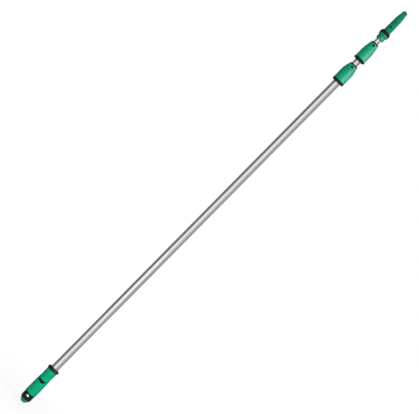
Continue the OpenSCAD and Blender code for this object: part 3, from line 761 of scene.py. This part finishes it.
def button():
    """Sprung button with a domed end."""
    z = middle("tool_button").z
    reach = -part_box("tool_button")[0].y / MM
    back = BUTTON_STOP - 2
    outline = rounded(
        [(0, back, 0), (BUTTON_STOP_R, back, 0.2), (BUTTON_STOP_R, BUTTON_STOP, 0.2),
         (BUTTON_R, BUTTON_STOP, 0), (BUTTON_R, reach - 0.7, 0.8), (1.2, reach - 0.15, 0.6),
         (0, reach, 0)], steps=5,
    )
    piece = turned("tool_button_pin", outline, steps=48)
    turn = Matrix.Rotation(math.radians(90), 4, "X")
    piece.data.transform(Matrix.Translation((0, 0, z)) @ turn)
    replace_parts(fitted(piece, "button", "black_nylon"), "tool_button")


def coil():
    """Spring of the button: it rests on the plug and bears on the button, and keeps its rest shape here."""
    lowest, highest = (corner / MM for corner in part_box("button_spring"))
    wire_r = 0.25
    centre_z = (lowest.z + highest.z) / 2
    back, ahead = highest.y - wire_r, lowest.y + wire_r
    turns = 7
    steps = 20 * turns
    bm = bmesh.new()
    ring = bmesh.ops.create_circle(
        bm, cap_ends=False, segments=10, radius=wire_r,
        matrix=Matrix.Translation((highest.x - wire_r, back, centre_z)),
    )["verts"]
    bmesh.ops.spin(
        bm, geom=ring + list(bm.edges), cent=(0, 0, centre_z), axis=(0, 1, 0),
        dvec=(0, (ahead - back) / steps, 0), angle=math.tau * turns, steps=steps, use_merge=False,
        use_normal_flip=False, use_duplicate=False,
    )
    bmesh.ops.holes_fill(bm, edges=[edge for edge in bm.edges if edge.is_boundary], sides=0)
    piece = settled(made("button_spring_coil", bm), "steel")
    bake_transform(piece)
    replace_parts(piece, "button_spring")


def plug():
    """Slotted plug behind the button."""
    z = middle("button_plug").z
    back = PLUG_SEAT + 2.75
    outline = rounded([(0, PLUG_SEAT, 0), (PLUG_R, PLUG_SEAT, 0), (PLUG_R, back, 0.3), (0, back, 0)])
    piece = turned("button_plug_slotted", outline, steps=48)
    cut(piece, block((-3, -0.5, back - 0.8), (3, 0.5, back + 2.25)))
    turn = Matrix.Rotation(math.radians(-90), 4, "X")
    piece.data.transform(Matrix.Translation((0, 0, z)) @ turn)
    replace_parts(fitted(softened(piece, 0.1, steps=1), "inner_section", "black_nylon"), "button_plug")


# ---- build ----

fluted_tip()
holed_cap()
grip_core_tube()
lower_shell()
upper_shell()
end_bead()
drawn_tube("outer_tube", "outer_section")
drawn_tube("middle_tube", "middle_section")
drawn_tube("inner_tube", "inner_section")
for lock, body in (("lower", "outer_section"), ("upper", "middle_section")):
    clamp_base(lock, body)
    collar(lock)
    top_ring(lock)
    wiper(lock)
    collar_screw(lock)
sleeve()
stop_ring()
cone()
cone_screw()
button()
coil()
plug()

# the inner workings keep their solids and get their finishes
INSIDE = {
    "cap_pin": "steel", "lower_clamp_rivets": "steel", "upper_clamp_rivets": "steel",
    "lower_collet": "bearing_nylon", "upper_collet": "bearing_nylon",
    "lower_wedge_ring": "black_nylon", "upper_wedge_ring": "black_nylon",
    "middle_guide_bush": "bearing_nylon", "inner_guide_bush": "bearing_nylon",
    "middle_stop_ring": "bearing_nylon", "inner_stop_ring": "bearing_nylon",
    "middle_stop_pins": "steel", "inner_stop_pins": "steel",
}
for node_name, slot in INSIDE.items():
    for material_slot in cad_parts[node_name].material_slots:
        material_slot.material = FINISHES[slot]


# ---- studio ----

POLE_MIDDLE = (Vector(cad_box[0]) + Vector(cad_box[1])) / 2
LEAN = math.radians(44.62)  # the pole leans to the upper right
CAMERA_TURN = math.radians(3)
CAMERA_FAR = 4.4
CAMERA_AIM = (0.0161, 0.0014)  # metres to the left of the pole's middle and under it, in the view
SENSOR = 36
VIEW_WIDTH = 1.383264  # metres across the view at the pole
LAMP_FAR = 3.4
LAMP_UP = 0.6
LAMP_SIZE = (3.0, 3.6)
CARD_FAR = 0.16
CARD_FOOT, CARD_TOP = 0.002, 5.2
SATIN_PIECES = ("lower_collar_moulding", "upper_collar_moulding", "cone_sleeve_moulding", "grip_end_bead")
GRIP_PIECES = ("grip_lower_shell", "grip_upper_shell")


def bare_tree(holder):
    """Empty node tree of a material or a world."""
    holder.use_nodes = True
    holder.node_tree.nodes.clear()
    return holder.node_tree


def seen_straight(tree):
    """Light path, and a value of 1 for rays from the camera or in gloss."""
    path = tree.nodes.new("ShaderNodeLightPath")
    seen = tree.nodes.new("ShaderNodeMath")
    seen.operation = "MAXIMUM"
    tree.links.new(path.outputs["Is Camera Ray"], seen.inputs[0])
    tree.links.new(path.outputs["Is Glossy Ray"], seen.inputs[1])
    return path, seen.outputs["Value"]


def glow(name, tone):
    """Grey that shines evenly by itself."""
    finish = bpy.data.materials.new(name)
    tree = bare_tree(finish)
    light = tree.nodes.new("ShaderNodeEmission")
    light.inputs["Color"].default_value = (tone, tone, tone, 1)
    out = tree.nodes.new("ShaderNodeOutputMaterial")
    tree.links.new(light.outputs["Emission"], out.inputs["Surface"])
    return finish


def backdrop():
    """White world for the camera and in gloss, with a weaker even light on the object."""
    world = bpy.data.worlds.new("studio")
    bpy.context.scene.world = world
    tree = bare_tree(world)
    path, seen = seen_straight(tree)
    shown = tree.nodes.new("ShaderNodeMath")
    shown.operation = "MAXIMUM"
    tree.links.new(seen, shown.inputs[0])
    tree.links.new(path.outputs["Is Transmission Ray"], shown.inputs[1])
    strength = tree.nodes.new("ShaderNodeMapRange")
    strength.inputs["To Min"].default_value = 0.14
    strength.inputs["To Max"].default_value = 1.0
    tree.links.new(shown.outputs["Value"], strength.inputs["Value"])
    light = tree.nodes.new("ShaderNodeBackground")
    light.inputs["Color"].default_value = (1, 1, 1, 1)
    tree.links.new(strength.outputs["Result"], light.inputs["Strength"])
    out = tree.nodes.new("ShaderNodeOutputWorld")
    tree.links.new(light.outputs["Background"], out.inputs["Surface"])


def floor():
    """Pale floor: it shines white by itself, a little less near the tip, where the shadow lies."""
    bm = bmesh.new()
    bmesh.ops.create_grid(bm, x_segments=1, y_segments=1, size=40)
    piece = made("floor", bm)
    finish = bpy.data.materials.new("floor_white")
    tree = bare_tree(finish)
    paint = tree.nodes.new("ShaderNodeBsdfDiffuse")
    paint.inputs["Color"].default_value = (0.25, 0.25, 0.25, 1)
    white = tree.nodes.new("ShaderNodeEmission")
    white.inputs["Color"].default_value = (1, 1, 1, 1)
    _, seen = seen_straight(tree)
    place = tree.nodes.new("ShaderNodeTexCoord")
    reach = tree.nodes.new("ShaderNodeVectorMath")
    reach.operation = "LENGTH"
    tree.links.new(place.outputs["Object"], reach.inputs[0])
    fade = tree.nodes.new("ShaderNodeMapRange")
    fade.inputs["From Min"].default_value = 0.0
    fade.inputs["From Max"].default_value = 2.0
    fade.inputs["To Min"].default_value = 0.79
    fade.inputs["To Max"].default_value = 0.975
    tree.links.new(reach.outputs["Value"], fade.inputs["Value"])
    strength = tree.nodes.new("ShaderNodeMath")
    strength.operation = "MULTIPLY"
    tree.links.new(seen, strength.inputs[0])
    tree.links.new(fade.outputs["Result"], strength.inputs[1])
    tree.links.new(strength.outputs["Value"], white.inputs["Strength"])
    both = tree.nodes.new("ShaderNodeAddShader")
    tree.links.new(paint.outputs["BSDF"], both.inputs[0])
    tree.links.new(white.outputs["Emission"], both.inputs[1])
    out = tree.nodes.new("ShaderNodeOutputMaterial")
    tree.links.new(both.outputs["Shader"], out.inputs["Surface"])
    piece.data.materials.append(finish)


def lamp(name, bearing, watts, glossy):
    """Soft area lamp, aimed at the pole's middle. Bearing is in degrees from the front towards +X."""
    data = bpy.data.lights.new(name, "AREA")
    data.shape = "RECTANGLE"
    data.size, data.size_y = LAMP_SIZE
    data.energy = watts
    light = bpy.data.objects.new(name, data)
    bpy.context.scene.collection.objects.link(light)
    light.location = POLE_MIDDLE + front(bearing, LAMP_FAR, LAMP_UP)
    light.rotation_euler = (POLE_MIDDLE - light.location).to_track_quat("-Z", "Y").to_euler()
    light.visible_glossy = glossy
    return light


def own_lamp(name, bearing, watts, pieces, glossy):
    """Lamp for some pieces alone, seen either as a broad soft gloss or as plain light."""
    lit = bpy.data.collections.new(name + "_pieces")
    for piece in pieces:
        lit.objects.link(bpy.data.objects[piece])
    light = lamp(name, bearing, watts, glossy)
    light.visible_diffuse = not glossy
    light.light_linking.receiver_collection = lit


def card(name, start, end, tone):
    """Studio card that only gloss sees, from one bearing to another round the pole."""
    bm = bmesh.new()
    side = [bm.verts.new(front(start, CARD_FAR, z)) for z in (CARD_FOOT, CARD_TOP)]
    bmesh.ops.spin(
        bm, geom=[*side, bm.edges.new(side)], cent=(0, 0, 0), axis=(0, 0, 1), dvec=(0, 0, 0),
        angle=math.radians(end - start), steps=12, use_merge=False, use_normal_flip=False,
        use_duplicate=False,
    )
    piece = made(name, bm)
    piece.data.materials.append(glow(name + "_tone", tone))
    piece.visible_camera = False
    piece.visible_diffuse = False
    piece.visible_transmission = False
    piece.visible_shadow = False


def camera():
    """Camera turned on its own axis, so that the pole leans to the upper right."""
    data = bpy.data.cameras.new("camera")
    data.lens = SENSOR * CAMERA_FAR / VIEW_WIDTH
    data.sensor_width = SENSOR
    data.clip_end = 100
    seen = bpy.data.objects.new("camera", data)
    bpy.context.scene.collection.objects.link(seen)
    back = Vector((math.sin(CAMERA_TURN), -math.cos(CAMERA_TURN), 0))
    side = Vector((math.cos(CAMERA_TURN), math.sin(CAMERA_TURN), 0))
    up = Vector((0, 0, 1))
    right = math.sin(LEAN) * up + math.cos(LEAN) * side
    above = math.cos(LEAN) * up - math.sin(LEAN) * side
    centre = Vector((0, 0, POLE_MIDDLE.z)) - right * CAMERA_AIM[0] - above * CAMERA_AIM[1]
    turn = Matrix((right, above, back)).transposed().to_4x4()
    seen.matrix_world = Matrix.Translation(centre + back * CAMERA_FAR) @ turn
    bpy.context.scene.camera = seen


backdrop()
floor()
lamp("front_lamp", bearing=5, watts=100, glossy=False)
lamp("right_lamp", bearing=78, watts=85, glossy=False)
lamp("back_lamp", bearing=184, watts=80, glossy=False)
own_lamp("satin_lamp", bearing=58, watts=800, pieces=SATIN_PIECES, glossy=True)
own_lamp("grip_lamp", bearing=9, watts=145, pieces=GRIP_PIECES, glossy=False)
own_lamp("grip_back_lamp", bearing=184, watts=50, pieces=GRIP_PIECES, glossy=False)
card("left_card", start=-42, end=-178, tone=0.19)
card("right_card", start=23, end=50, tone=0.60)
card("side_card", start=50, end=100, tone=0.42)
card("far_right_card", start=100, end=180, tone=0.34)
camera()
bpy.context.scene.view_settings.view_transform = "Standard"
